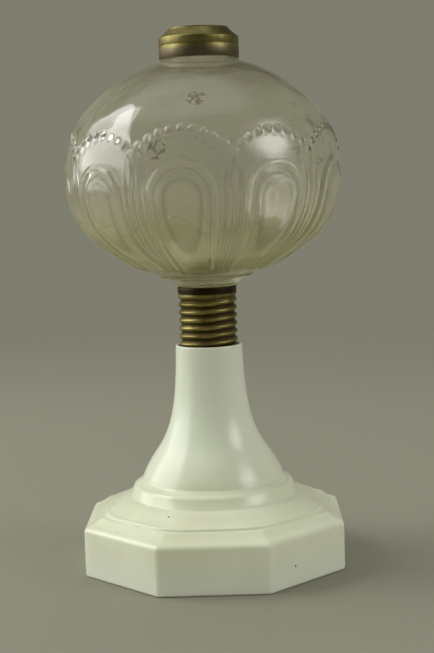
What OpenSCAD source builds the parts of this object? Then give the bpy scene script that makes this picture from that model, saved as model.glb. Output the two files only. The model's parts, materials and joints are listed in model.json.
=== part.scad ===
// Kerosene table lamp: an eight-sided white glass base, a brass screw sleeve
// and a clear pressed-glass font with a brass burner collar.
// The origin is the centre of the underside, with +Z up.

/* [Foot] */
// Width of the foot across its flats
foot_across = 100; // [96:1:106]
// Height of the foot's upright faces
face_h = 19.5; // [17:0.5:23]
// Rise of the sloping shoulder above the upright faces
shoulder_rise = 2.8; // [2:0.2:4]
// Width across the flats of the raised pad on the shoulder
pad_across = 85.5; // [84:0.5:87]
// Rounding of the pad's eight corners
pad_corner_r = 25.5; // [20:0.5:30]
// Rise of the pad from its edge step to the foot of the ledge
pad_rise = 5.3; // [4.5:0.1:6]
// Radius at the foot of the round ledge
ledge_r = 33; // [32.6:0.1:33.6]
// Rise of the ledge, from the pad to the foot of the stem
ledge_rise = 6.2; // [5.6:0.1:7]
// Rounding of the foot's eight upright edges
foot_corner_r = 2; // [1:0.25:3]
// Glass thickness of the foot around the recess under it
foot_wall = 6; // [5:0.25:7]
// Depth of the eight-sided recess under the foot
recess_depth = 13; // [10:0.5:14]

/* [Stem] */
// Height of the stem above the ledge
stem_h = 52.8; // [48:0.4:60]
// Radius of the stem where it stands on the ledge
stem_foot_r = 27.9; // [27:0.1:28.4]
// Radius of the rim at the top of the stem
rim_r = 13.1; // [13:0.05:13.6]
// Depth of the socket in the top of the stem
socket_depth = 24.6; // [22:0.2:27]
// Thickness of the glass web between the socket and the hollow below it
web = 5; // [4:0.5:7]

/* [Screw] */
// Outer radius of the sleeve over its ribs
sleeve_r = 11.5; // [11.3:0.05:11.6]
// Height of the sleeve that shows above the rim
sleeve_shown = 22.9; // [21:0.1:25]
// Length of the sleeve set below the rim
sleeve_set = 20.6; // [18:0.2:21]
// Rise of the screw in one turn
pitch = 3.1; // [2.9:0.05:3.3]
// Depth of the screw's rounded ribs
rib_depth = 1.1; // [0.9:0.05:1.2]
// Thickness of the brass sheet
sheet = 0.5; // [0.4:0.05:0.6]
// Height of the plain band at the top of the sleeve
band_h = 3; // [2.5:0.1:3.5]
// Length of the glass peg under the font
peg_len = 14.5; // [13:0.1:16]
// Radial play between the glass peg and the sleeve
screw_play = 0.3; // [0.25:0.01:0.4]
// Gap between the font's boss and the top of the sleeve
seat_gap = 0.1; // [0.05:0.05:0.3]

/* [Font] */
// Greatest radius of the glass font
font_r = 53.3; // [51:0.1:56]
// Height of the upright band at the font's greatest radius
belt_h = 5.1; // [4:0.1:7]
// Radius of the small arc that turns into the dome
upper_arc_r = 34.1; // [33:0.1:35]
// Radius of the small arc that turns into the underside
lower_arc_r = 29.6; // [28.6:0.1:30.6]
// Tilt above the belt at which the small arc meets the dome
upper_turn = 43; // [41:0.5:45]
// Tilt below the belt at which the small arc meets the underside
lower_turn = 50; // [48:0.5:52]
// Glass thickness of the font
font_wall = 3; // [2.5:0.1:3.5]
// Radius of the boss under the font
boss_r = 18.5; // [18:0.1:19.5]
// Height from the sleeve's seat to the font's flattened underside
boss_h = 5.7; // [5.3:0.1:6.3]
// Outer radius of the neck
neck_r = 14; // [13.9:0.05:14.1]
// Inner radius of the neck
neck_bore_r = 12; // [11.6:0.1:12.4]
// Height of the neck above the shoulder that the collar stands on
neck_h = 6.1; // [5.5:0.1:6.3]

/* [Collar] */
// Outer radius of the collar's skirt
collar_r = 15.35; // [15.3:0.05:15.6]
// Height of the collar
collar_h = 11.7; // [11.5:0.1:13]
// Height of the collar's upright skirt
skirt_h = 6.9; // [6.8:0.1:7.4]
// Outer radius of the collar's mouth
mouth_r = 11.4; // [11.3:0.05:11.6]
// Radius of the burner thread at its crests
thread_r = 10.5; // [10.3:0.05:10.6]
// Length of the threaded tube
tube_len = 7.6; // [7:0.1:8]
// Thickness of the collar's sheet
collar_sheet = 0.6; // [0.5:0.05:0.65]

/* [Hidden] */
$fn = 96;
eps = 0.01;

// Heights of the base
step_z = face_h + shoulder_rise;
pad_z = step_z + pad_rise;
ledge_z = pad_z + ledge_rise;
rim_z = ledge_z + stem_h;
socket_z = rim_z - socket_depth;
foot_edge_r = 1.2;
sole_edge_r = 0.8;
edge_turn = 75;
pad_gap = 0.8;
pad_edge = 0.9;
pad_edge_r = 0.6;
rim_round = 0.55;
flare = [stem_foot_r - 6, ledge_z + 11.3];
socket_play = 0.5;
socket_r = sleeve_r + socket_play;
hollow_r = 9.5;
hollow_round = 3;
hollow_top_z = socket_z - web;

// Heights of the screw
sleeve_z = rim_z - sleeve_set;
seat_z = rim_z + sleeve_shown;
thread_low_z = rim_z - pitch * 1.2;
thread_high_z = seat_z - band_h;
cement_z = thread_low_z - 0.8;
peg_r = sleeve_r - sheet - screw_play;
sides = 32;
rows_per_turn = 6;

// Heights and arc centres of the font
boss_z = seat_z + seat_gap;
under_z = boss_z + boss_h;
under_r = boss_r + 2.9;
lower_r = font_r - lower_arc_r;
lower_R = lower_r / cos(lower_turn) + lower_arc_r;
belt_z = under_z + sqrt(lower_R * lower_R - under_r * under_r) - lower_r * tan(lower_turn);
belt_top_z = belt_z + belt_h;
lower_c_z = belt_z + lower_r * tan(lower_turn);
upper_r = font_r - upper_arc_r;
upper_R = upper_r / cos(upper_turn) + upper_arc_r;
upper_c_z = belt_top_z - upper_r * tan(upper_turn);
side_steps = 8;
side_share = side_steps / (side_steps + 1);
shoulder_r = collar_r - 0.25;
shoulder_z = upper_c_z + upper_R - 0.75;
fillet_r = shoulder_r + 10.3;
fillet_z = upper_c_z + sqrt(upper_R * upper_R - fillet_r * fillet_r);
neck_top_z = shoulder_z + neck_h;

// Heights and radii of the collar
collar_top_z = shoulder_z + collar_h;
skirt_top_z = shoulder_z + skirt_h;
skirt_in_r = collar_r - collar_sheet;
cement_gap = 0.05;

// Points of an arc
function arc(c, r, a0, a1, n) =
    [for (i = [0 : n]) c + r * [cos(a0 + (a1 - a0) * i / n), sin(a0 + (a1 - a0) * i / n)]];

// Points of a cubic curve with end points a and d and handles b and c
function curve(a, b, c, d, n) =
    [for (i = [0 : n]) let (t = i / n, s = 1 - t)
        s * s * s * a + 3 * s * s * t * b + 3 * s * t * t * c + t * t * t * d];

// A flat octagon with rounded corners, half as wide as its flats are apart
module octagon(half, r) {
    corners = [for (k = [0 : 7]) (half - r) / cos(22.5) * [cos(22.5 + 45 * k), sin(22.5 + 45 * k)]];
    polygon([for (k = [0 : 7], s = [0, 1]) corners[k] + r * [cos(45 * (k + s)), sin(45 * (k + s))]]);
    for (c = corners) translate(c) circle(r);
}

// Bar whose cross-section has the given outline on both sides
module bar(side) {
    rotate([90, 0, 0]) linear_extrude(2 * foot_across, center = true)
        polygon(concat(side, [for (i = [len(side) - 1 : -1 : 0]) [-side[i].x, side[i].y]]));
}

// Eight-sided body with the same outline on every side: the common part of four bars
module eight_sided(side) {
    intersection() {
        bar(side);
        rotate(45) bar(side);
        rotate(90) bar(side);
        rotate(135) bar(side);
    }
}

// The upright slab with its hollowed, sloping shoulder
module slab() {
    half = foot_across / 2;
    shoulder_half = pad_across / 2 + pad_gap;
    width = half - shoulder_half;
    sole = arc([half - sole_edge_r, sole_edge_r], sole_edge_r, -90, 0, 4);
    edge = arc([half - foot_edge_r, face_h - foot_edge_r], foot_edge_r, 0, edge_turn, 4);
    slope = curve([half - 0.2 * width, face_h + 0.04 * shoulder_rise],
        [half - 0.45 * width, face_h + 0.16 * shoulder_rise],
        [shoulder_half + 0.3 * width, step_z - 0.42 * shoulder_rise], [shoulder_half, step_z], 5);
    intersection() {
        eight_sided(concat(sole, edge, slope));
        linear_extrude(step_z + 1) octagon(half, foot_corner_r);
    }
}

// The swelling pad that lies on the shoulder, nearly round at its edge
module pad() {
    half = pad_across / 2;
    far = half / cos(22.5) - pad_corner_r * (1 / cos(22.5) - 1);
    edge_z = step_z + pad_edge;
    intersection() {
        rotate_extrude() polygon(concat([[0, face_h], [0, pad_z]],
            curve([ledge_r, pad_z], [ledge_r + 3, pad_z - 0.4], [half - 4, edge_z + 0.2 * pad_rise],
                [far - pad_edge_r, edge_z], 10),
            [[far, edge_z - pad_edge_r], [far, face_h]]));
        linear_extrude(pad_z + 1) octagon(half, pad_corner_r);
    }
}

// The round ledge and the trumpet-shaped stem
module stem() {
    rotate_extrude() polygon(concat(
        [[0, face_h], [ledge_r, face_h], [ledge_r, pad_z]],
        curve([ledge_r - 1.4, pad_z + 0.55 * ledge_rise], [ledge_r - 1.7, pad_z + 0.68 * ledge_rise],
            [ledge_r - 2, pad_z + 0.74 * ledge_rise], [ledge_r - 3.6, pad_z + 0.82 * ledge_rise], 4),
        [[stem_foot_r + 0.5, ledge_z - 0.3]],
        curve([stem_foot_r, ledge_z], [stem_foot_r - 0.7, ledge_z + 3.2], flare + [2.1, -2.9], flare, 8),
        curve(flare, flare + [-6.65, 8.9], [rim_r + 0.45, rim_z - 21.2], [rim_r, rim_z - rim_round], 16),
        arc([rim_r - rim_round, rim_z - rim_round], rim_round, 0, 90, 3),
        [[0, rim_z]]));
}

// The hollow under the foot: an eight-sided recess that runs up into the stem
module hollow() {
    translate([0, 0, -eps]) linear_extrude(recess_depth + eps)
        octagon(foot_across / 2 - foot_wall, foot_corner_r + 1);
    brim_r = ledge_r + 13.4 - foot_wall;
    brim_slope = 4;
    rotate_extrude() polygon(concat(
        [[0, recess_depth - eps], [brim_r, recess_depth - eps]],
        curve([brim_r - brim_slope, recess_depth + brim_slope],
            [stem_foot_r - foot_wall, pad_z - foot_wall],
            [stem_foot_r - foot_wall - 9, ledge_z - foot_wall + 9],
            [hollow_r, hollow_top_z - hollow_round], 10),
        arc([hollow_r - hollow_round, hollow_top_z - hollow_round], hollow_round, 0, 90, 4),
        [[0, hollow_top_z]]));
}

// White glass base
module base() {
    color([0.93, 0.95, 0.88])
    difference() {
        union() {
            slab();
            pad();
            stem();
        }
        hollow();
        translate([0, 0, socket_z]) cylinder(h = socket_depth + 1, r = socket_r);
    }
}

// Plaster that holds the sleeve in the socket
module base_cement() {
    plain_r = sleeve_r - rib_depth;
    color([0.86, 0.84, 0.78])
    rotate_extrude() polygon([[0, socket_z], [socket_r, socket_z], [socket_r, cement_z],
        [plain_r, cement_z], [plain_r, sleeve_z], [0, sleeve_z]]);
}

// Share of the full rib at a height: none below, full between, smooth at the ends
function fade(z, low, high) =
    z <= low || z >= high ? 0 : min(1, (z - low) / pitch, (high - z) / pitch);

// Ring of points of a screw surface at one height
function screw_ring(z, crest, root, full) = [for (i = [0 : sides - 1])
    let (a = 360 * i / sides, rib = (1 + cos(360 * z / pitch - a)) / 2,
        r = crest - (crest - root) * full * (1 - rib))
    [r * cos(a), r * sin(a), z]];

// Side faces of a stack of rings, turned outward or inward
function skin(first, rings, flip) = [for (j = [0 : rings - 2], i = [0 : sides - 1], half = [0, 1])
    let (a = first + j * sides + i, b = first + j * sides + (i + 1) % sides,
        tri = half == 0 ? [a, a + sides, b] : [b, a + sides, b + sides])
    flip ? [tri[2], tri[1], tri[0]] : tri];

// Brass sleeve pressed into a screw of rounded ribs, with a plain band on top
module screw_sleeve() {
    step = pitch / rows_per_turn;
    low = thread_low_z;
    high = thread_high_z;
    count = floor((high - low) / step);
    levels = concat([sleeve_z, low - 1], [for (i = [0 : count]) low + i * step],
        [high, seat_z]);
    root = sleeve_r - rib_depth;
    rings = len(levels);
    outer = [for (z = levels) each screw_ring(z, z < low ? root : sleeve_r, root,
        z > low ? fade(z, low - 2 * pitch, high) : 0)];
    inner = [for (p = outer)
        let (share = 1 - sheet / norm([p.x, p.y])) [p.x * share, p.y * share, p.z]];
    n = rings * sides;
    last = n - sides;
    ends = [for (i = [0 : sides - 1]) let (j = (i + 1) % sides)
        each [[i, j, n + i], [j, n + j, n + i],
            [last + i, n + last + i, last + j], [last + j, n + last + i, n + last + j]]];
    color([0.42, 0.36, 0.22])
    polyhedron(concat(outer, inner), concat(skin(0, rings, false), skin(n, rings, true), ends),
        convexity = 8);
}

// Threaded glass peg that screws into the sleeve
module peg() {
    step = pitch / rows_per_turn;
    top = boss_z + 1;
    tip = boss_z - peg_len;
    high = thread_high_z;
    count = floor((high - tip) / step);
    levels = concat([for (i = [0 : count]) tip + i * step], [high + 0.3, top]);
    root = peg_r - rib_depth;
    rings = len(levels);
    points = [for (z = levels)
        let (grown = z >= high ? 1 : min(1, (z - tip) / (2 * pitch)))
        each screw_ring(z, root + (peg_r - root) * grown, root, z >= high ? 0 : 1)];
    caps = [[for (i = [0 : sides - 1]) i],
        [for (i = [sides - 1 : -1 : 0]) (rings - 1) * sides + i]];
    polyhedron(points, concat(skin(0, rings, false), caps), convexity = 6);
}

// Half outline of the font, drawn in by a wall thickness: four arcs that run into each other
module font_outline(inset) {
    polygon(concat(
        arc([0, lower_c_z], lower_R - inset, -90, -lower_turn, 9),
        arc([lower_r, belt_z], lower_arc_r - inset, -side_share * lower_turn, 0, side_steps),
        arc([upper_r, belt_top_z], upper_arc_r - inset, 0, side_share * upper_turn, side_steps),
        arc([0, upper_c_z], upper_R - inset, upper_turn, 90, 9)));
}

// The font's glass wall, boss and neck
module font_glass() {
    lip_z = boss_z + 3.7;
    rotate_extrude() difference() {
        union() {
            intersection() {
                font_outline(0);
                translate([0, under_z]) square([2 * font_r, 2 * font_r]);
            }
            polygon([[0, boss_z], [sleeve_r, boss_z], [sleeve_r + 0.1, boss_z + 0.4],
                [boss_r - 2.1, lip_z - 0.4], [boss_r - 0.3, lip_z], [boss_r, lip_z + 0.6],
                [boss_r, under_z + 1], [0, under_z + 1]]);
            polygon(concat([[0, fillet_z - 2], [fillet_r + 1, fillet_z - 2]],
                curve([fillet_r, fillet_z], [fillet_r - 4.2, fillet_z + 2.4],
                    [shoulder_r + 1.4, shoulder_z - 1.4], [shoulder_r, shoulder_z - 0.7], 6),
                [[shoulder_r, shoulder_z], [0, shoulder_z]]));
            translate([0, shoulder_z - 1]) square([neck_r, neck_h + 1]);
        }
        intersection() {
            font_outline(font_wall);
            translate([0, under_z + font_wall]) square([2 * font_r, 2 * font_r]);
        }
        translate([0, shoulder_z - 11]) square([neck_bore_r, neck_h + 12]);
    }
}

// Clear glass font
module font() {
    color([0.85, 0.86, 0.72, 0.55]) {
        font_glass();
        peg();
    }
}

// Plaster that holds the collar on the neck
module collar_cement() {
    out_r = skirt_in_r - cement_gap;
    in_r = neck_r + cement_gap;
    cap_z = neck_top_z + cement_gap;
    roof_z = skirt_top_z + 0.3;
    color([0.86, 0.84, 0.78])
    rotate_extrude() polygon([[in_r, shoulder_z + cement_gap], [out_r, shoulder_z + cement_gap],
        [out_r, roof_z - 0.8], [out_r - 0.75, roof_z],
        [mouth_r + 0.4, roof_z], [mouth_r + 0.4, cap_z], [in_r, cap_z]]);
}

// Brass collar; the burner screws into the tube that hangs in its mouth
module collar() {
    top = collar_top_z;
    lip = 0.35;
    color([0.48, 0.39, 0.22])
    rotate_extrude() polygon(concat(
        [[thread_r, top - tube_len], [mouth_r, top - tube_len], [mouth_r, top - 2.6],
            [skirt_in_r - 1.6, top - 3.5], [skirt_in_r - 0.7, skirt_top_z + 0.6],
            [skirt_in_r, skirt_top_z - 0.3], [skirt_in_r, shoulder_z], [collar_r, shoulder_z]],
        curve([collar_r, skirt_top_z], [collar_r, skirt_top_z + 1.1],
            [collar_r - 0.9, top - 3], [collar_r - 2.2, top - 1.9], 6),
        curve([collar_r - 2.9, top - 1.4], [mouth_r + 0.5, top - 1],
            [mouth_r, top - 0.8], [mouth_r, top - lip], 4),
        arc([mouth_r - lip, top - lip], lip, 0, 90, 3),
        [[thread_r + 0.2, top], [thread_r, top - 0.2]]));
}

base();
base_cement();
screw_sleeve();
font();
collar_cement();
collar();
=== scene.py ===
import json
import math

import bmesh
import bpy
from mathutils import Matrix, Vector


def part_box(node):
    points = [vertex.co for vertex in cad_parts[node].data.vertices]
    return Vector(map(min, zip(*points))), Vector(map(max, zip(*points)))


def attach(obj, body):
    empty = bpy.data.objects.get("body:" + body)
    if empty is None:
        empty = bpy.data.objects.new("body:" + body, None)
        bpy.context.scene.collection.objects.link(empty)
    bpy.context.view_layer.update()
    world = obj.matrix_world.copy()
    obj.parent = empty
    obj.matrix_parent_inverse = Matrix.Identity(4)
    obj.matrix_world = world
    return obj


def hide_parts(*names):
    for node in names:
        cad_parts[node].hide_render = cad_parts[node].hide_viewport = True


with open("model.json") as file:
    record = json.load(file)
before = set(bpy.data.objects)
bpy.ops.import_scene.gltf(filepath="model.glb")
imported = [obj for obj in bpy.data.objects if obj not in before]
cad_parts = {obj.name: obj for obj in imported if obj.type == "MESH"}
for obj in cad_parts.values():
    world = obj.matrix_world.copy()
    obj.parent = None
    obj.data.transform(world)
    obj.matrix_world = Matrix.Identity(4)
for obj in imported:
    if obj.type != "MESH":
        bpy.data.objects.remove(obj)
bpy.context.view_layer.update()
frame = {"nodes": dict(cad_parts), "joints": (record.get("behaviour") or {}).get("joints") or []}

# The photograph's view: a camera about half a metre in front of the lamp, a little higher
# than its middle, tilted down and turned a little about its own axis.
IMAGE_LONG_SIDE = 653
FOCAL_PIXELS = 1391.2
SENSOR = 36.0
VIEW_TURN = math.radians(0.76)
AIM_TURN = math.radians(0.255)
TILT_DOWN = math.radians(6.665)
ROLL = math.radians(-1.943)
EYE = Vector((0.00582, -0.542, 0.15652))

camera_data = bpy.data.cameras.new("camera")
camera_data.sensor_width = SENSOR
camera_data.lens = SENSOR * FOCAL_PIXELS / IMAGE_LONG_SIDE
camera = bpy.data.objects.new("camera", camera_data)
bpy.context.collection.objects.link(camera)
camera.matrix_world = (
    Matrix.Rotation(VIEW_TURN, 4, "Z")
    @ Matrix.Translation(EYE)
    @ Matrix.Rotation(AIM_TURN, 4, "Z")
    @ Matrix.Rotation(math.radians(90) - TILT_DOWN, 4, "X")
    @ Matrix.Rotation(ROLL, 4, "Z")
)
bpy.context.scene.camera = camera
bpy.context.scene.view_settings.view_transform = "Standard"

# White glass base: pressed in one piece, an eight-sided foot with a hollowed shoulder, a
# swelling pad that is nearly round, a round ledge and a trumpet stem. It is hollow
# underneath and has a socket on top. Sizes are in millimetres until a mesh is finished.
MM = 0.001


def reach(node):
    """A solid's half width, its lowest height and its highest, in millimetres."""
    low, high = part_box(node)
    return [round(x / MM, 3) for x in (high.x, low.z, high.z)]


FOOT_HALF, _, RIM_Z = reach("base")
SOCKET_R, SOCKET_Z, _ = reach("base_cement")
SIDES = 8
FACE_H = 19.5
FOOT_CORNER = 3.0
LOWER_EDGE = 1.0
UPPER_EDGE = 2.2
STEP_Z = 22.3
PAD_HALF = 42.75
PAD_CORNER = 25.5
PAD_EDGE = 0.75
PAD_Z = 27.6
PAD_STEPS = 10
LEDGE_R = 33.0
LEDGE_Z = 33.8
FLARE_R = 21.9
FLARE_Z = 45.1
RIM_R = 13.1
RIM_EDGE = 0.55
RECESS_HALF = 44.0
RECESS_Z = 13.0
HOLLOW_R = 9.5
HOLLOW_TOP = 57.0
HOLLOW_EDGE = 3.0
BASE_COLUMNS = 320
CROWDING = 1.7


def arc(centre, radius, start, end, steps):
    """Points of a round stretch of an outline, between two angles in degrees."""
    angles = [math.radians(start + (end - start) * i / steps) for i in range(steps + 1)]
    return [(centre[0] + radius * math.cos(a), centre[1] + radius * math.sin(a)) for a in angles]


def curve(a, b, c, d, steps):
    """Points of a cubic curve from a to d with handles b and c."""
    points = []
    for i in range(steps + 1):
        t = i / steps
        s = 1 - t
        weights = (s * s * s, 3 * s * s * t, 3 * s * t * t, t * t * t)
        points.append(tuple(sum(w * p[k] for w, p in zip(weights, (a, b, c, d))) for k in (0, 1)))
    return points


def turned(outline, columns, marks=None):
    """A bmesh of an outline of radius and height, spun about the lamp's axis: an eighth
    of it, then its copies. Marks give points of the outline numbers that are kept."""
    parts = 8
    bm = bmesh.new()
    marks = marks or {}
    for name in marks:
        bm.verts.layers.float.new(name)
    verts = [bm.verts.new((r, 0, z)) for r, z in outline]
    edges = [bm.edges.new(pair) for pair in zip(verts, verts[1:])]
    for name, numbers in marks.items():
        for v, point in zip(verts, outline):
            v[bm.verts.layers.float[name]] = numbers.get(point, 0.0)
    bmesh.ops.spin(
        bm, geom=verts + edges, cent=(0, 0, 0), axis=(0, 0, 1), angle=math.tau / parts, steps=columns // parts
    )
    sector = bm.verts[:] + bm.edges[:] + bm.faces[:]
    for k in range(1, parts):
        made = bmesh.ops.duplicate(bm, geom=sector)["geom"]
        verts = [item for item in made if isinstance(item, bmesh.types.BMVert)]
        turn = Matrix.Rotation(math.tau * k / parts, 3, "Z")
        bmesh.ops.rotate(bm, verts=verts, cent=(0, 0, 0), matrix=turn)
    bmesh.ops.remove_doubles(bm, verts=bm.verts, dist=1e-3)
    return bm


def finished(name, bm, material, body, node):
    """Stores a bmesh in metres as a piece of the lamp that stands for a solid."""
    bmesh.ops.recalc_face_normals(bm, faces=bm.faces)
    bmesh.ops.scale(bm, vec=(MM, MM, MM), verts=bm.verts)
    mesh = bpy.data.meshes.new(name)
    bm.to_mesh(mesh)
    bm.free()
    mesh.shade_smooth()
    mesh.materials.append(material)
    piece = bpy.data.objects.new(name, mesh)
    bpy.context.collection.objects.link(piece)
    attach(piece, body)
    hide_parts(node)


def side_factor(turn, corner):
    """How much further out than the flats an eight-sided ring lies, with rounded corners."""
    half = math.pi / SIDES
    off = abs((turn + half) % (2 * half) - half)
    inner = (1 - corner) / math.cos(half)
    if off <= math.atan2(inner * math.sin(half), 1):
        return 1 / math.cos(off)
    b = inner * math.cos(half - off)
    return b + math.sqrt(max(0, b * b - inner * inner + corner * corner))


def eight_sided(bm):
    """Pushes each ring of a spun mesh out to an octagon, by its share and its corners'
    rounding, and crowds its columns towards the corners."""
    half = math.pi / SIDES
    shares, corners = (bm.verts.layers.float[name] for name in ("share", "corner"))
    for v in bm.verts:
        share, corner = v[shares], v[corners]
        if share == 0:
            continue
        r = math.hypot(v.co.x, v.co.y)
        turn = math.atan2(v.co.y, v.co.x)
        phase = (turn + half) % (2 * half) - half
        near = phase / half
        crowded = math.copysign(1 - (1 - abs(near)) ** CROWDING, near) * half
        turn += (crowded - phase) * share
        factor = 1 + share * (side_factor(turn, min(1, corner / max(r, 1))) - 1)
        v.co.x, v.co.y = r * factor * math.cos(turn), r * factor * math.sin(turn)
    for name in ("share", "corner"):
        bm.verts.layers.float.remove(bm.verts.layers.float[name])


octagon = {"share": {}, "corner": {}}


def ring_rows(points, share, corner):
    """Points whose rings become octagons: their share of it and their corners' radius."""
    for point in points:
        octagon["share"][point], octagon["corner"][point] = share, corner
    return points


hollow = (
    [(0.0, HOLLOW_TOP)]
    + arc((HOLLOW_R - HOLLOW_EDGE, HOLLOW_TOP - HOLLOW_EDGE), HOLLOW_EDGE, 90, 0, 4)[1:]
    + curve((HOLLOW_R, HOLLOW_TOP - HOLLOW_EDGE), (12.9, 36.8), (21.9, 21.6), (36.4, RECESS_Z + 4), 10)[1:]
    + [(RECESS_HALF - 3.6, RECESS_Z + 0.05)]
)
recess = ring_rows(
    [(RECESS_HALF - 0.4, RECESS_Z), (RECESS_HALF, RECESS_Z - 0.4)]
    + [(RECESS_HALF, 0.6), (RECESS_HALF + 0.5, 0.0)],
    1, FOOT_CORNER,
)
foot = ring_rows(
    arc((FOOT_HALF - LOWER_EDGE, LOWER_EDGE), LOWER_EDGE, -90, 0, 5)
    + arc((FOOT_HALF - UPPER_EDGE, FACE_H - UPPER_EDGE), UPPER_EDGE, 0, 70, 8)
    + curve((47.9, FACE_H + 0.14), (46.6, FACE_H + 0.6), (45.2, STEP_Z - 1.3),
            (PAD_HALF + 0.85, STEP_Z - 0.06), 7)
    + [(PAD_HALF + 0.55, STEP_Z + 0.03), (PAD_HALF + 0.22, STEP_Z - 0.04)],
    1, FOOT_CORNER,
)
pad = ring_rows(
    [(PAD_HALF + 0.03, STEP_Z + 0.03)] + arc((PAD_HALF - PAD_EDGE, STEP_Z + 0.42), PAD_EDGE, 0, 68, 5),
    1, PAD_CORNER,
)
pad_top = curve((PAD_HALF - 1.15, STEP_Z + 1.08), (38.9, STEP_Z + 2.1), (36.2, PAD_Z - 0.5),
                (LEDGE_R + 0.15, PAD_Z), PAD_STEPS)
for i, point in enumerate(pad_top):
    ring_rows([point], 1 - (i / PAD_STEPS) ** 1.3, PAD_CORNER)
ledge = (
    [(LEDGE_R - 0.1, PAD_Z + 0.25)]
    + curve((LEDGE_R - 1.4, PAD_Z + 3.41), (LEDGE_R - 1.7, PAD_Z + 4.22), (LEDGE_R - 2, PAD_Z + 4.59),
            (LEDGE_R - 3.6, PAD_Z + 5.08), 6)
    + [(LEDGE_R - 4.5, LEDGE_Z - 0.28), (LEDGE_R - 5, LEDGE_Z + 0.02)]
)
stem = (
    curve((27.85, LEDGE_Z + 0.35), (27.2, LEDGE_Z + 3.2), (FLARE_R + 2.1, FLARE_Z - 2.9),
          (FLARE_R, FLARE_Z), 12)
    + curve((FLARE_R, FLARE_Z), (FLARE_R - 6.65, FLARE_Z + 8.9), (RIM_R + 0.45, RIM_Z - 21.2),
            (RIM_R, RIM_Z - RIM_EDGE), 24)[1:]
    + arc((RIM_R - RIM_EDGE, RIM_Z - RIM_EDGE), RIM_EDGE, 0, 90, 5)[1:]
)
socket = [(SOCKET_R + 0.3, RIM_Z), (SOCKET_R, RIM_Z - 0.3), (SOCKET_R, SOCKET_Z), (0.0, SOCKET_Z)]
base_bm = turned(hollow + recess + foot + pad + pad_top + ledge + stem + socket, BASE_COLUMNS, octagon)
eight_sided(base_bm)


# A finish is built by one class, which adds nodes to a material, a lamp or the world; each
# socket is wrapped so that Python's own operators add the Math nodes.
class Finish:
    def __init__(self, owner):
        self.owner = owner
        owner.use_nodes = True
        self.tree = owner.node_tree
        self.tree.nodes.clear()

    def node(self, kind, settings=None, **inputs):
        """A new node. An input is named, or is an underscore and its number."""
        made = self.tree.nodes.new(kind)
        for key, value in (settings or {}).items():
            setattr(made, key, value)
        for key, value in inputs.items():
            self.feed(made, key, value)
        return made

    def feed(self, made, key, value):
        index = int(key[1:]) if key[0] == "_" and key[1:].isdigit() else key.replace("_", " ")
        if isinstance(value, Value):
            self.tree.links.new(value.socket, made.inputs[index])
        else:
            made.inputs[index].default_value = value

    def value(self, kind, settings=None, output=0, **inputs):
        return Value(self, self.node(kind, settings, **inputs).outputs[output])

    def place(self):
        return self.value("ShaderNodeTexCoord", output="Object")

    def kept(self, name):
        """The number that the piece's mesh keeps at each vertex under a name."""
        return self.value("ShaderNodeAttribute", {"attribute_name": name}, output="Fac")

    def split(self, vector):
        made = self.node("ShaderNodeSeparateXYZ", Vector=vector)
        return [Value(self, socket) for socket in made.outputs]

    def noise(self, vector, scale, detail=3, roughness=0.5, output=0):
        inputs = {"Vector": vector, "Scale": scale, "Detail": detail, "Roughness": roughness}
        return self.value("ShaderNodeTexNoise", output=output, **inputs)

    def vector(self, operation, output="Vector", **inputs):
        return self.value("ShaderNodeVectorMath", {"operation": operation}, output=output, **inputs)

    def away(self, vector, point):
        """Distance of each place from a point given in millimetres."""
        return self.vector("DISTANCE", output="Value", _0=vector, _1=[x * MM for x in point])

    def mix(self, amount, a, b):
        return self.value("ShaderNodeMix", {"data_type": "RGBA"}, output=2, _0=amount, _6=a, _7=b)

    def step(self, x, low, high):
        """0 where x is below low, 1 where it is above high, smooth between them."""
        return self.value(
            "ShaderNodeMapRange", {"interpolation_type": "SMOOTHSTEP"}, _0=x, _1=low, _2=high, _3=0.0, _4=1.0
        )

    def bump(self, height, distance):
        return self.value("ShaderNodeBump", Strength=1.0, Distance=distance, Height=height)

    def gloss(self, **inputs):
        return self.value("ShaderNodeBsdfPrincipled", **inputs)

    def over(self, amount, under, top):
        return self.value("ShaderNodeMixShader", _0=amount, _1=under, _2=top)

    def done(self, shader, kind="ShaderNodeOutputMaterial"):
        self.node(kind, Surface=shader)
        return self.owner


class Value:
    def __init__(self, finish, socket):
        self.finish, self.socket = finish, socket

    def math(self, operation, *others):
        inputs = {f"_{i}": x for i, x in enumerate((self, *others))}
        return self.finish.value("ShaderNodeMath", {"operation": operation}, **inputs)

    def flipped(self, operation, other):
        return self.finish.value("ShaderNodeMath", {"operation": operation}, _0=other, _1=self)

    def __add__(self, other):
        return self.math("ADD", other)

    def __sub__(self, other):
        return self.math("SUBTRACT", other)

    def __mul__(self, other):
        return self.math("MULTIPLY", other)

    def __radd__(self, other):
        return self.flipped("ADD", other)

    def __rsub__(self, other):
        return self.flipped("SUBTRACT", other)

    def __rmul__(self, other):
        return self.flipped("MULTIPLY", other)


# Dark specks in the white glass: the place of each and its radius.
SPECKS = (
    ((-16.5, -33.6, 26.0), 0.35),
    ((-28.2, -33.1, 22.5), 0.3),
    ((-36.4, -30.7, 20.0), 0.2),
    ((30.2, -40.5, 7.8), 0.4),
    ((22.0, -18.4, 33.3), 0.15),
    ((34.8, 3.9, 27.0), 0.15),
    ((12.0, 50.0, 12.0), 0.3),
    ((-35.4, 35.4, 9.0), 0.25),
)
white = Finish(bpy.data.materials.new("white_glass"))
spot = white.place()
height = white.split(spot)[2]
cloud = white.noise(spot, 38.0, 4, 0.6)
fine = white.noise(spot, 900.0, 3, 0.6)
ripple = white.noise(spot, 110.0, 2, 0.4)
dirt = white.step(white.noise(spot, 210.0, 4, 0.7), 0.62, 0.8)
up_the_stem = white.step(height + cloud * 0.01, 34 * MM, 60 * MM)
# Painted light: the foot's faces get lighter towards their bottom, as if lit from below.
painted_light_low = 1 - white.step(height + cloud * 0.006, 2 * MM, 20 * MM)
tint = white.mix(white.step(cloud, 0.35, 0.7), (0.70, 0.73, 0.53, 1), (0.76, 0.79, 0.60, 1))
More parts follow.
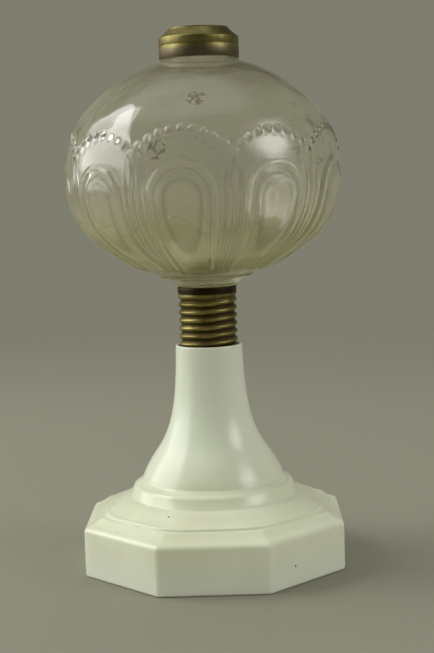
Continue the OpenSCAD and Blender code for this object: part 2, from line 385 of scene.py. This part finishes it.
tint = white.mix(up_the_stem * 0.7, tint, (0.75, 0.80, 0.665, 1))
tint = white.mix(painted_light_low * 0.8, tint, (0.80, 0.84, 0.71, 1))
tint = white.mix(dirt * 0.12, tint, (0.42, 0.38, 0.24, 1))
for point, size in SPECKS:
    off = white.away(spot, point) + fine * 0.0004
    speck = 1 - white.step(off, (size + 0.1) * MM, (size + 0.4) * MM)
    tint = white.mix(speck * 0.85, tint, (0.07, 0.06, 0.04, 1))
white_shader = white.gloss(
    Base_Color=tint,
    Roughness=0.16 + fine * 0.07,
    IOR=1.5,
    Subsurface_Weight=0.2,
    Subsurface_Radius=(0.003, 0.0033, 0.003),
    Subsurface_Scale=1.0,
    Normal=white.bump(ripple + fine * 0.04, 0.12 * MM),
)
finished("white_base", base_bm, white.done(white_shader), "stand", "base")

# Plaster: the disc and ring that hold the sleeve in the stem's socket and the ring that
# holds the collar on the neck. They keep their solids and get a matte, grainy off-white.
plaster = Finish(bpy.data.materials.new("plaster"))
lumps = plaster.noise(plaster.place(), 400.0, 5, 0.7)
plaster_shader = plaster.gloss(
    Base_Color=plaster.mix(lumps, (0.50, 0.46, 0.36, 1), (0.72, 0.69, 0.58, 1)),
    Roughness=0.9,
    Normal=plaster.bump(lumps, 0.2 * MM),
)
plaster_material = plaster.done(plaster_shader)
for name in ("base_cement", "collar_cement"):
    for slot in frame["nodes"][name].material_slots:
        slot.material = plaster_material

# Screw sleeve: brass sheet pressed into a screw of rounded ribs, with a plain band on
# top, set in the stem's socket with plaster. Its grooves are darkest. The font climbs by
# one rib at each turn.
joints = {joint["name"]: joint for joint in frame["joints"]}
TURNS = joints["font_turn"]["range_deg"][1] / 360
PITCH = joints["font_lift"]["range_m"][1] / MM / TURNS
SLEEVE_R, SLEEVE_Z, SEAT_Z = reach("screw_sleeve")
BAND_Z = 106.5
THREAD_Z = 82.9
RIB_DEPTH = 1.1
RIB_START = 1.45
SHEET = 0.5
SHEET_EDGE = 0.12
THREAD_ROWS = 124
ROW_STEP = 0.2
SLEEVE_COLUMNS = 128


def rib(x, y, z):
    """Height of the sleeve's rib form at a place, from 0 in a groove to 1 on a crest."""
    return (1 + math.cos(math.tau * (z + RIB_START) / PITCH - math.atan2(y, x))) / 2


def in_thread(z, low, high):
    """1 in the middle of the thread, falling to 0 over one pitch at either end."""
    return max(0.0, min(1.0, (z - low) / PITCH, (high - z) / PITCH))


rows = (
    [SLEEVE_Z, 74.0]
    + [THREAD_Z - 1 + ROW_STEP * i for i in range(THREAD_ROWS)]
    + [107.2, 108.4, SEAT_Z - 0.15]
)
sleeve_outline = (
    [(SLEEVE_R, z) for z in rows]
    + [(SLEEVE_R - SHEET_EDGE, SEAT_Z), (SLEEVE_R - SHEET + SHEET_EDGE, SEAT_Z)]
    + [(SLEEVE_R - SHEET, z) for z in reversed(rows)]
)
sleeve_bm = turned(sleeve_outline + sleeve_outline[:1], SLEEVE_COLUMNS)
groove = sleeve_bm.verts.layers.float.new("groove")
for v in sleeve_bm.verts:
    x, y, z = v.co
    share = in_thread(z, THREAD_Z - PITCH, BAND_Z + 0.4) if z > THREAD_Z - 1 else 1.0
    crest = rib(x, y, z) ** 0.85 if z > THREAD_Z else 0.0
    cut = RIB_DEPTH * share * (1 - crest)
    r = math.hypot(x, y)
    v[groove] = cut / RIB_DEPTH
    v.co.x, v.co.y = x * (r - cut) / r, y * (r - cut) / r

brass = Finish(bpy.data.materials.new("sleeve_brass"))
spot = brass.place()
height = brass.split(spot)[2]
depth = brass.kept("groove")
patches = brass.noise(spot, 140.0, 5, 0.65)
grain = brass.noise(spot, 1500.0, 2, 0.5)
worn = brass.step(patches - depth * 0.35, 0.22, 0.6)
band = brass.step(height, (BAND_Z - 0.1) * MM, (BAND_Z + 0.5) * MM)
colour = brass.mix(worn, (0.15, 0.115, 0.036, 1), (0.34, 0.28, 0.095, 1))
colour = brass.mix(brass.step(depth, 0.45, 1.0), colour, (0.065, 0.048, 0.016, 1))
colour = brass.mix(band * 0.97, colour, (0.026, 0.018, 0.011, 1))
sleeve_shader = brass.gloss(
    Base_Color=colour,
    Metallic=1.0,
    Roughness=0.52 - worn * 0.12 + depth * 0.12,
    Normal=brass.bump(patches + grain * 0.3, 0.06 * MM),
)
finished("brass_sleeve", sleeve_bm, brass.done(sleeve_shader), "stand", "screw_sleeve")

# Clear glass font: pressed in a mould of nine panels, each with an arch of beads, two
# loops and long ribs that run down to the boss. It is hollow, with a solid screw peg
# below that turns in the sleeve and a neck inside the collar.
FONT_R, PEG_TIP, NECK_TOP = reach("font")
SHOULDER_Z = reach("collar")[1]
UPPER_ARC = 34.1
LOWER_ARC = 29.6
UPPER_TURN = 43.0
LOWER_TURN = 50.0
BELT_Z = 150.0
BELT_TOP_Z = 155.1
WALL = 3.2
BOSS_R = 18.5
BOSS_Z = 109.6
UNDER_Z = 115.3
UNDER_R = BOSS_R + 2.9
DOME_EDGE_R = 25.4
COVE_R = 15.1
NECK_R = 14.0
NECK_BORE = 12.0
NECK_EDGE = 0.4
FONT_COLUMNS = 576
INNER_COLUMNS = 96
LOWER_R = (FONT_R - LOWER_ARC) / math.cos(math.radians(LOWER_TURN)) + LOWER_ARC
UPPER_R = (FONT_R - UPPER_ARC) / math.cos(math.radians(UPPER_TURN)) + UPPER_ARC
LOWER_C = (0.0, BELT_Z + (FONT_R - LOWER_ARC) * math.tan(math.radians(LOWER_TURN)))
UPPER_C = (0.0, BELT_TOP_Z - (FONT_R - UPPER_ARC) * math.tan(math.radians(UPPER_TURN)))


def font_arcs(inset, low, high, steps):
    """The font's half outline from below to above: four arcs and the upright belt."""
    belt_rows = [BELT_Z + (BELT_TOP_Z - BELT_Z) * i / steps[2] for i in range(1, steps[2])]
    return (
        arc(LOWER_C, LOWER_R - inset, low, -LOWER_TURN, steps[0])
        + arc((FONT_R - LOWER_ARC, BELT_Z), LOWER_ARC - inset, -LOWER_TURN, 0, steps[1])[1:]
        + [(FONT_R - inset, z) for z in belt_rows]
        + arc((FONT_R - UPPER_ARC, BELT_TOP_Z), UPPER_ARC - inset, 0, UPPER_TURN, steps[3])
        + arc(UPPER_C, UPPER_R - inset, UPPER_TURN, high, steps[4])[1:]
    )


under_start = -math.degrees(math.acos(UNDER_R / LOWER_R))
dome_end = math.degrees(math.acos(DOME_EDGE_R / UPPER_R))
dome_edge = (DOME_EDGE_R, UPPER_C[1] + UPPER_R * math.sin(math.radians(dome_end)))
boss = [
    (SLEEVE_R, BOSS_Z), (SLEEVE_R + 0.15, BOSS_Z + 0.4), (14.2, 111.5),
    (BOSS_R - 2.1, 112.8), (BOSS_R - 0.9, 113.0), (BOSS_R - 0.2, 113.4), (BOSS_R, 114.0),
    (BOSS_R + 0.1, 114.6), (BOSS_R + 0.6, UNDER_Z - 0.1), (BOSS_R + 1.5, UNDER_Z),
]
neck = [
    (COVE_R, SHOULDER_Z), (NECK_R, SHOULDER_Z),
    (NECK_R, NECK_TOP - NECK_EDGE), (NECK_R - NECK_EDGE, NECK_TOP),
]
outside = (
    boss
    + font_arcs(0, under_start, dome_end, (26, 36, 8, 50, 9))
    + curve(dome_edge, (21.2, dome_edge[1] + 2.3), (16.5, SHOULDER_Z - 1.4),
            (COVE_R, SHOULDER_Z - 0.7), 8)[1:]
    + neck
)
inside = (
    [(NECK_BORE + NECK_EDGE, NECK_TOP), (NECK_BORE, NECK_TOP - NECK_EDGE), (NECK_BORE, 193.4), (13.2, 191.8)]
    + list(reversed(font_arcs(WALL, -68.5, 70.0, (8, 12, 2, 14, 8))))
    + [(14.0, UNDER_Z + 3.6), (0.0, UNDER_Z + 3.0)]
)

# The nine panels as their cusps lie round the font, in degrees from the front: the mould
# was cut by hand, so that they aren't all equally wide. Heights of the pattern's forms are
# how far they stand out of the glass, and the ground between them is sunk.
CUSPS = [-64.0, -28.1, 13.6, 50.2, 91.2, 132.1, 173.0, 213.9, 254.9, 296.0]
CUSP_Z = 161.2
USUAL_HALF = 18.0
DEGREE_MM = 52.0 * math.radians(1)
PATTERN_TOP_Z = 175.0
SUNK = 0.72
BEAD_R = 1.5
BEAD_HEIGHT = 0.85
BEAD_STEP = 4.1
ARCH_RISE = 0.41
LOOP_Z = 144.5
LOOP_SHARE = 0.625
LOOP_TOP_Z = 156.0
LOOP_GAIN = 0.45
LOOP_HEIGHT = 0.7
LOOP_WIDTH = 3.8
OVAL_SHARE = 0.42
OVAL_TOP_Z = 151.8
OVAL_GAIN = 0.35
OVAL_REACH = 27.0
OVAL_HEIGHT = 0.4
RIB_SHARE = 0.845
RIB_TOP_Z = 156.5
RIB_TIP = 6.0
RIB_HEIGHT = 0.34
RIB_WIDTH = 1.9
DART_HEIGHT = 0.7
DART_LONG = 9.0
DART_POINT = 1.2
DART_WIDER = 2.6
DART_NARROWER = 2.0
RIDGE_TOP = 0.25


def roof(distance, width):
    """A ridge with even flanks and a rounded top: 1 on its middle line, 0 at its edges."""
    t = min(1.0, abs(distance) / (width / 2))
    edge = math.hypot(1, RIDGE_TOP)
    return (edge - math.hypot(t, RIDGE_TOP)) / (edge - RIDGE_TOP)


def smooth(x, low, high):
    """0 where x is below low, 1 where it is above high, smooth between them."""
    t = max(0.0, min(1.0, (x - low) / (high - low)))
    return t * t * (3 - 2 * t)


def panel_at(degrees):
    """The middle and half width of the panel at a turn from the front."""
    for low, high in zip(CUSPS, CUSPS[1:]):
        if low <= degrees < high:
            return (low + high) / 2, (high - low) / 2


def bead_places(half):
    """Where a panel's beads lie along its arch: sideways and up from its cusps, in mm."""
    chord = half * DEGREE_MM
    rise = ARCH_RISE * half
    radius = (chord * chord + rise * rise) / (2 * rise)
    reach_out = math.asin(chord / radius)
    count = round(2 * half / BEAD_STEP)
    angles = [reach_out * (2 * k / count - 1) for k in range(count + 1)]
    return [(radius * math.sin(a), radius * math.cos(a) - radius + rise) for a in angles]


ARCHES = {}
for low, high in zip(CUSPS, CUSPS[1:]):
    ARCHES[(high - low) / 2] = bead_places((high - low) / 2)


def beads(u, half, z, slope):
    """The round beads of a panel's arch."""
    if z <= CUSP_Z - 2:
        return 0.0
    out = 0.0
    for bead_x, bead_v in ARCHES[half]:
        dx = u * DEGREE_MM - bead_x
        if abs(dx) < BEAD_R:
            dv = (z - CUSP_Z - bead_v) / slope
            off = (dx * dx + dv * dv) / (BEAD_R * BEAD_R)
            out = max(out, BEAD_HEIGHT * max(0.0, 1 - off) ** 0.7)
    return out


def beyond_loop(u, z, mm, side, top_z, squeeze):
    """How far outside a loop's line a place lies: an arch above LOOP_Z, legs below it."""
    if z < LOOP_Z:
        return (abs(u) - side * squeeze) * mm
    off = math.hypot(u / side, (z - LOOP_Z) / (top_z - LOOP_Z))
    return (off - 1) * min(side * DEGREE_MM, top_z - LOOP_Z)


def oval(u, half, mm, z):
    """The bulged oval inside the loop, which thins out towards the boss."""
    side = OVAL_SHARE * half
    top_z = OVAL_TOP_Z + OVAL_GAIN * (half - USUAL_HALF)
    squeeze = math.sqrt(max(0.0, 1 - ((LOOP_Z - z) / OVAL_REACH) ** 2))
    inwards = -beyond_loop(u, z, mm, side, top_z, squeeze) / (side * DEGREE_MM)
    if inwards <= 0:
        return 0.0
    bulge = 1 - (1 - min(1.0, inwards)) ** 4
    return OVAL_HEIGHT * bulge * smooth(z, UNDER_Z + 3.7, UNDER_Z + 20.7)


def long_rib(u, half, mm, z, narrow):
    """The fine rib beside the loop, which tapers off at its upper end."""
    if z >= RIB_TOP_Z:
        return 0.0
    tip = smooth(RIB_TOP_Z - z, 0, RIB_TIP)
    width = RIB_WIDTH * narrow * (0.5 + 0.5 * tip)
    return RIB_HEIGHT * roof((abs(u) - RIB_SHARE * half) * mm, width) * tip


def dart(u, half, mm, z, narrow):
    """The sharp dart between two panels, which starts below their cusp."""
    down = CUSP_Z - 0.6 - z
    if down <= 0:
        return 0.0
    width = DART_POINT + DART_WIDER * smooth(down, 0, DART_LONG) - DART_NARROWER * smooth(down, 10, 15)
    flank = max(0.0, 1 - (half - abs(u)) * mm / (width * narrow / 2))
    return (DART_HEIGHT * min(1, down / DART_LONG) - 0.2 * smooth(down, 10, 16)) * flank


def relief(u, half, r, z, slope):
    """How far the pattern stands out of the glass, u degrees from a panel's middle, in mm."""
    mm = math.radians(1) * r
    narrow = 0.6 + 0.4 * min(1.0, r / 45)
    loop_top = LOOP_TOP_Z + LOOP_GAIN * (half - USUAL_HALF)
    off_loop = beyond_loop(u, z, mm, LOOP_SHARE * half, loop_top, 1.0)
    return max(
        beads(u, half, z, slope),
        LOOP_HEIGHT * roof(off_loop, LOOP_WIDTH * narrow),
        oval(u, half, mm, z),
        long_rib(u, half, mm, z, narrow),
        dart(u, half, mm, z, narrow),
    )


font_bm = turned(outside, FONT_COLUMNS)
ridge = font_bm.verts.layers.float.new("ridge")
for v in font_bm.verts:
    x, y, z = v.co
    r = math.hypot(x, y)
    if not (UNDER_Z + 0.1 < z < PATTERN_TOP_Z and r > BOSS_R + 2):
        continue
    if z > BELT_TOP_Z:
        rise = min(1.0, (z - BELT_TOP_Z) / UPPER_ARC)
    elif z > BELT_Z:
        rise = 0.0
    else:
        rise = max(-1.0, (z - BELT_Z) / LOWER_ARC, (z - LOWER_C[1]) / LOWER_R)
    slope = math.sqrt(max(0.05, 1 - rise * rise))
    degrees = math.degrees(math.atan2(y, x)) + 90
    degrees = (degrees - CUSPS[0]) % 360 + CUSPS[0]
    middle, half = panel_at(min(degrees, CUSPS[-1] - 1e-6))
    ground = SUNK * smooth(z, UNDER_Z + 1.2, UNDER_Z + 5.7)
    ground *= 1 - smooth(z, PATTERN_TOP_Z - 8, PATTERN_TOP_Z)
    out = relief(degrees - middle, half, r, z, slope) * smooth(z, UNDER_Z + 0.3, UNDER_Z + 3.7)
    v[ridge] = out / DART_HEIGHT if z < CUSP_Z - 2 else 0.0
    out -= ground
    grown = r + out * slope
    v.co = (x * grown / r, y * grown / r, z + out * rise)

inner_bm = turned(inside, INNER_COLUMNS)
inner_mesh = bpy.data.meshes.new("font_inside")
inner_bm.to_mesh(inner_mesh)
inner_bm.free()

PEG_R = 10.7
PEG_ROWS = 46
PEG_ROW_STEP = 0.25
peg_rows = [PEG_TIP + PEG_ROW_STEP * i for i in range(PEG_ROWS)] + [107.4, 108.6]
peg_outline = [(0.0, PEG_TIP)] + [(PEG_R, z) for z in peg_rows] + [(PEG_R, BOSS_Z)]
peg_bm = turned(peg_outline, INNER_COLUMNS)
for v in peg_bm.verts:
    x, y, z = v.co
    r = math.hypot(x, y)
    if r < PEG_R - 0.01:
        continue
    run_in = min(1.0, (z - PEG_TIP) / (2 * PITCH))
    crest = rib(x, y, z) * run_in if z < BAND_Z else 1.0
    grown = r - RIB_DEPTH * (1 - crest)
    v.co.x, v.co.y = x * grown / r, y * grown / r
peg_mesh = bpy.data.meshes.new("font_peg")
peg_bm.to_mesh(peg_mesh)
peg_bm.free()
outer_count = len(font_bm.verts)
font_bm.from_mesh(inner_mesh)
inner_count = len(font_bm.verts)
font_bm.from_mesh(peg_mesh)
lining = font_bm.verts.layers.float.new("lining")
font_bm.verts.ensure_lookup_table()
for v in font_bm.verts[outer_count:inner_count]:
    v[lining] = 1.0


def open_ring(bm, z, low, high):
    """The edges of an open end of a spun shell, at a height and between two radii."""
    def on_ring(v):
        return abs(v.co.z - z) < 0.01 and low < math.hypot(v.co.x, v.co.y) < high
    return [e for e in bm.edges if e.is_boundary and all(on_ring(v) for v in e.verts)]


# The open ends of the three shells are bridged at the neck's top, and under the boss where
# the peg starts.
for z, low, middle, high in (
    (NECK_TOP, NECK_BORE, 13.0, NECK_R), (BOSS_Z, PEG_R - 0.5, 11.2, SLEEVE_R + 0.3)
):
    ends = open_ring(font_bm, z, low, middle) + open_ring(font_bm, z, middle, high)
    bmesh.ops.bridge_loops(font_bm, edges=ends)

# The glass is clear with a straw tint. Its inside has a dull film that is thicker low
# down, where oil has dried. Beside the ridges of the pattern a dark strip is painted shade,
# their crests get more pale film as a painted highlight, and the shoulder under the collar
# is darkened where it is seen edge-on, as painted shade.
clear = Finish(bpy.data.materials.new("clear_glass"))
spot = clear.place()
height = clear.split(spot)[2]
within = clear.kept("lining")
ridge = clear.kept("ridge")
edge_on = clear.value("ShaderNodeLayerWeight", output="Facing", Blend=0.35)
swirl = clear.noise(spot, 60.0, 2, 0.4)
smear = clear.step(clear.noise(spot, 45.0, 4, 0.6), 0.4, 0.8)
low_down = 1 - clear.step(height + swirl * 0.01, 126 * MM, 166 * MM)
# Painted highlight: the crests of the pattern's ridges get more of the pale film.
crest = clear.step(ridge, 0.45, 0.9)
# Painted shade: a dark strip along the feet of the pattern's ridges.
painted_shade_by_ridges = clear.step(ridge, 0.03, 0.16) * (1 - clear.step(ridge, 0.25, 0.5))
# Painted shade: the shoulder under the collar darkens where it is seen edge-on.
painted_shoulder_shade = clear.step(height, 182 * MM, 189 * MM) * edge_on

# Bruises and cracks on the outside of the glass: a bruise is a small web of them, and a
# crack is a thin line between two points.
BRUISE_R = 4.6
BRUISES = ((-15.2, -50.0, 162.3), (-0.5, -42.3, 180.0))
CRACKS = (
    ((-21.1, -32.3, 183.6), (-18.3, -29.7, 186.4)),
    ((-29.4, -29.5, 180.9), (-27.7, -26.5, 183.8)),
    ((-40.7, -27.2, 171.7), (-36.0, -25.6, 178.2)),
)
BEND = 0.0035
bent = clear.noise(spot, 420.0, output="Color")
bent = clear.vector("MULTIPLY_ADD", _0=bent, _1=(BEND, BEND, BEND), _2=spot)
web = clear.value(
    "ShaderNodeTexVoronoi", {"feature": "DISTANCE_TO_EDGE"}, output="Distance", Vector=bent, Scale=300.0
)
rough_edge = clear.noise(spot, 700.0, 3, 0.6) * 0.0012
cracks = 0.0
for point in BRUISES:
    near = 1 - clear.step(clear.away(spot, point) + rough_edge, BRUISE_R * 0.7 * MM, BRUISE_R * MM)
    cracks = near * (1 - clear.step(web, 0.08, 0.16)) + cracks
for start, end in CRACKS:
    a, b = Vector(start), Vector(end)
    half_length = (b - a).length / 2
    across = (b - a).cross(a + b - Vector((0, 0, 2 * UPPER_C[1]))).normalized()
    side = clear.vector("DOT_PRODUCT", output="Value", _0=spot, _1=across)
    side = (side + rough_edge * 0.8 - (a.dot(across) * MM + 0.0005)).math("ABSOLUTE")
    near = 1 - clear.step(clear.away(spot, (a + b) / 2), half_length * MM, (half_length + 0.6) * MM)
    cracks = near * (1 - clear.step(side, 0.2 * MM, 0.6 * MM)) + cracks
cracks = (cracks * (1 - within)).math("MINIMUM", 1.0)

glass = clear.gloss(
    Base_Color=(0.987, 0.981, 0.932, 1),
    Roughness=0.015 + smear * 0.025 + within * (0.03 + low_down * 0.08),
    IOR=1.5,
    Transmission_Weight=1.0,
    Normal=clear.bump(swirl, 0.6 * MM),
)
straw = low_down.math("MAXIMUM", edge_on)
film = clear.gloss(
    Base_Color=clear.mix(straw, (0.92, 0.90, 0.72, 1), (0.94, 0.90, 0.41, 1)),
    Roughness=0.9,
    Transmission_Weight=0.4,
)
# A dark, dull coat for the real cracks and for the painted shade beside the ridges and on the shoulder.
cracks_and_painted_shade = clear.gloss(Base_Color=(0.13, 0.115, 0.06, 1), Roughness=0.7)
# The pale film's amount: dust and dried oil, and on the ridges' crests a painted highlight.
haze_and_painted_sheen = (
    0.035 + low_down * 0.07 + smear * 0.04
    + within * (0.05 + smear * 0.07 + low_down * 0.18)
    + edge_on * edge_on * 0.10
    + crest * (0.06 + low_down * 0.14)
)
# Where the dark coat lies: real cracks, and painted shade beside the ridges and on the shoulder.
dark = (cracks * 0.85).math("MAXIMUM", painted_shade_by_ridges * (0.11 + low_down * 0.14)).math("MAXIMUM", painted_shoulder_shade * 0.4)
glass_shader = clear.over(dark, clear.over(haze_and_painted_sheen, glass, film), cracks_and_painted_shade)
finished("glass_font", font_bm, clear.done(glass_shader), "reservoir", "font")

# Burner collar: spun brass, a plain skirt that turns in over the neck, with a threaded
# tube in its mouth for the burner. A fine line is turned round the skirt.
COLLAR_R, _, COLLAR_TOP = reach("collar")
COLLAR_SHEET = 0.6
LINE_Z = SHOULDER_Z + 5.05
LINE_DEPTH = 0.05
MOUTH_R = 11.4
MOUTH_EDGE = 0.4
THREAD_R = 10.5
TUBE_LONG = 7.6
BURNER_PITCH = 1.8
BURNER_DEPTH = 0.45
COLLAR_COLUMNS = 128
TUBE_ROWS = 31
INSIDE_R = COLLAR_R - COLLAR_SHEET
tube_rows = [COLLAR_TOP - 7.0 + ROW_STEP * i for i in range(TUBE_ROWS)]
tube = [(THREAD_R, z) for z in reversed(tube_rows)] + [
    (THREAD_R, COLLAR_TOP - TUBE_LONG), (MOUTH_R, COLLAR_TOP - TUBE_LONG), (MOUTH_R, COLLAR_TOP - 2.6)
]
skirt_inside = [
    (INSIDE_R - 1.6, COLLAR_TOP - 3.5), (INSIDE_R - 0.7, SHOULDER_Z + 7.5),
    (INSIDE_R, SHOULDER_Z + 6.6), (INSIDE_R, SHOULDER_Z),
]
skirt = [
    (COLLAR_R - 0.1, SHOULDER_Z), (COLLAR_R, SHOULDER_Z + 0.12), (COLLAR_R, SHOULDER_Z + 2.4),
    (COLLAR_R, LINE_Z - 0.15), (COLLAR_R - LINE_DEPTH, LINE_Z - 0.05),
    (COLLAR_R - LINE_DEPTH, LINE_Z + 0.05), (COLLAR_R, LINE_Z + 0.15),
]
slope_in = (
    curve((COLLAR_R, SHOULDER_Z + 7.2), (COLLAR_R, SHOULDER_Z + 8.0), (COLLAR_R - 0.2, SHOULDER_Z + 8.2),
          (COLLAR_R - 0.7, SHOULDER_Z + 8.5), 8)
    + curve((COLLAR_R - 1.0, SHOULDER_Z + 8.65), (COLLAR_R - 2.3, COLLAR_TOP - 2.0),
            (MOUTH_R + 0.5, COLLAR_TOP - 0.9), (MOUTH_R + 0.1, COLLAR_TOP - MOUTH_EDGE), 6)
)
mouth = (
    arc((MOUTH_R - 0.3, COLLAR_TOP - MOUTH_EDGE), MOUTH_EDGE, 10, 90, 4)
    + [(THREAD_R + 0.2, COLLAR_TOP), (THREAD_R, COLLAR_TOP - 0.2)]
)
collar_outline = tube + skirt_inside + skirt + slope_in + mouth
collar_bm = turned(collar_outline + collar_outline[:1], COLLAR_COLUMNS)
for v in collar_bm.verts:
    x, y, z = v.co
    r = math.hypot(x, y)
    if r < THREAD_R + 0.01 and tube_rows[0] < z < tube_rows[-1]:
        share = min(1.0, (z - tube_rows[0]) / BURNER_PITCH, (tube_rows[-1] - z) / 0.6)
        wave = (1 - math.cos(math.tau * z / BURNER_PITCH - math.atan2(y, x))) / 2
        grown = r + BURNER_DEPTH * share * wave
        v.co.x, v.co.y = x * grown / r, y * grown / r

dull = Finish(bpy.data.materials.new("collar_brass"))
spot = dull.place()
height = dull.split(spot)[2]
patches = dull.noise(spot, 120.0, 5, 0.65)
grain = dull.noise(spot, 1600.0, 2, 0.5)
worn = dull.step(patches, 0.35, 0.65)
upright = dull.vector("MULTIPLY", _0=spot, _1=(1, 1, 0.08))
streaks = dull.step(dull.noise(upright, 700.0, 3, 0.6), 0.5, 0.8)
low_band = 1 - dull.step(height + patches * 0.0015, 200.2 * MM, 202.2 * MM)
line = 1 - dull.step((height - LINE_Z * MM).math("ABSOLUTE"), 0.1 * MM, 0.3 * MM)
colour = dull.mix(worn, (0.135, 0.115, 0.036, 1), (0.25, 0.22, 0.078, 1))
colour = dull.mix(streaks * 0.35, colour, (0.10, 0.08, 0.025, 1))
colour = dull.mix(low_band * 0.75, colour, (0.13, 0.10, 0.075, 1))
colour = dull.mix(line * 0.4, colour, (0.05, 0.038, 0.02, 1))
collar_shader = dull.gloss(
    Base_Color=colour,
    Metallic=1.0,
    Roughness=0.50 - worn * 0.08 + low_band * 0.06,
    Normal=dull.bump(patches + grain * 0.25, 0.05 * MM),
)
finished("brass_collar", collar_bm, dull.done(collar_shader), "reservoir", "collar")

# Floor, which isn't part of the lamp: a pale board that runs out into an even backdrop of
# the same tone all round, as on a photographer's sweep.
BACKDROP = (0.21, 0.208, 0.16, 1)
FLOOR_HALF = 6.0
floor_bm = bmesh.new()
bmesh.ops.create_grid(floor_bm, x_segments=2, y_segments=2, size=FLOOR_HALF)
floor_mesh = bpy.data.meshes.new("floor")
floor_bm.to_mesh(floor_mesh)
floor_bm.free()
floor = bpy.data.objects.new("floor", floor_mesh)
bpy.context.collection.objects.link(floor)
board = Finish(bpy.data.materials.new("floor_board"))
far = board.step(board.away(board.place(), (0, 0, 0)), 0.28, 0.9)
even = board.value("ShaderNodeEmission", Color=BACKDROP, Strength=1.0)
pale = board.gloss(Base_Color=(0.243, 0.236, 0.176, 1), Roughness=0.8)
floor_mesh.materials.append(board.done(board.over(far, pale, even)))


# Light: a large soft box that stands at the lamp's left, brighter towards its top and cut
# off obliquely there, a smaller one at the front right that fades to its edges, and a weak
# one overhead that isn't mirrored. The clear glass doesn't show them straight through.
def soft_box(name, place, aim, size, power, strength, mirrored=True):
    """A rectangular lamp. Strength gives how bright it is at each of its places."""
    light = bpy.data.lights.new(name, "AREA")
    light.shape = "RECTANGLE"
    light.size, light.size_y = size
    light.energy = power
    glow = Finish(light)
    spot = glow.value("ShaderNodeNewGeometry", output="Position")
    glow.done(glow.value("ShaderNodeEmission", Strength=strength(glow, spot)), "ShaderNodeOutputLight")
    lamp = bpy.data.objects.new(name, light)
    bpy.context.collection.objects.link(lamp)
    lamp.visible_glossy = mirrored
    lamp.visible_transmission = False
    lamp.location = place
    lamp.rotation_euler = (Vector(aim) - Vector(place)).to_track_quat("-Z", "Y").to_euler()


def left_glow(glow, y, z):
    """The left box's brightness: nothing past its edges and its oblique upper corner."""
    upper = 1 - glow.step(z - y, 1.33, 1.39)
    back = 1 - glow.step(y, 0.52, 0.72)
    edges = upper * back * glow.step(z, 0.06, 0.24) * glow.step(y, -0.5, -0.48)
    return edges * (0.56 + glow.step(z, 0.45, 1.2) * 0.44)


def right_glow(glow, off):
    """The right box's brightness at a distance from its middle."""
    return 1 - glow.step(off, 0.12, 0.38) * 0.9


def left_strength(glow, spot):
    return left_glow(glow, *glow.split(spot)[1:])


def right_strength(glow, spot):
    return right_glow(glow, glow.vector("DISTANCE", output="Value", _0=spot, _1=RIGHT_MIDDLE))


def above_floor(glow, spot):
    return glow.step(glow.split(spot)[2], 0.0, 0.1)


LAMP_MIDDLE = (0, 0, 0.13)
RIGHT_MIDDLE = Vector((0.95, -0.43, 0.62))
soft_box("left_box", place=(-1.0, 0.12, 0.88), aim=(0, 0.12, 0.88), size=(1.24, 1.66), power=35.0,
         strength=left_strength)
soft_box("right_box", place=(0.95, -0.43, 0.60), aim=LAMP_MIDDLE, size=(0.80, 0.75), power=9.0,
         strength=right_strength)
soft_box("top_box", place=(-0.1, 0.3, 1.3), aim=LAMP_MIDDLE, size=(1.2, 1.2), power=2.5,
         strength=above_floor, mirrored=False)

# Surround: the backdrop's tone for the camera, and for metal and glass a room that is
# darker behind the camera and above. Rays that were reflected inside the glass before they
# left it also meet both boxes here, as the lamps themselves are hidden from them.
FONT_MIDDLE = Vector((0, 0, 0.15))
RIGHT_TOWARD = (RIGHT_MIDDLE - FONT_MIDDLE).normalized()
LEFT_SHINE = (5.6, 5.6, 5.6, 1)
RIGHT_SHINE = (4.9, 4.9, 4.9, 1)
surround = bpy.data.worlds.new("surround")
bpy.context.scene.world = surround
sky = Finish(surround)
rays = sky.node("ShaderNodeLightPath")
camera_ray, glossy_ray, through_ray, glossy_count, diffuse_count = (
    Value(sky, rays.outputs[kind])
    for kind in ("Is Camera Ray", "Is Glossy Ray", "Is Transmission Ray", "Glossy Depth", "Diffuse Depth")
)
toward = sky.place()
toward_x, toward_y, toward_z = sky.split(toward)
room = sky.mix(sky.step(0 - toward_y, 0.1, 0.8), BACKDROP, (0.07, 0.068, 0.055, 1))
room = sky.mix(sky.step(toward_z, 0.2, 0.5) * 0.8, room, (0.05, 0.055, 0.04, 1))
room = sky.mix(sky.step(toward_z - toward_x * 0.2, 0.75, 0.95), room, (0.9, 0.9, 0.85, 1))
tone = sky.mix(glossy_ray, (0.42, 0.42, 0.395, 1), room)
tone = sky.mix(camera_ray.math("MAXIMUM", through_ray), tone, BACKDROP)
inside_out = through_ray * (glossy_count + diffuse_count).math("MINIMUM", 1.0)
out_left = (0 - toward_x).math("MAXIMUM", 0.05)
left = left_glow(
    sky, toward_y.math("DIVIDE", out_left), toward_z.math("DIVIDE", out_left) + FONT_MIDDLE.z
)
off_right = sky.vector("DISTANCE", output="Value", _0=toward, _1=RIGHT_TOWARD)
right = right_glow(sky, off_right) * (1 - sky.step(off_right, 0.38, 0.40))
tone = sky.mix(inside_out * left, tone, LEFT_SHINE)
tone = sky.mix(inside_out * right, tone, RIGHT_SHINE)
sky.done(sky.value("ShaderNodeBackground", Color=tone, Strength=1.0), "ShaderNodeOutputWorld")
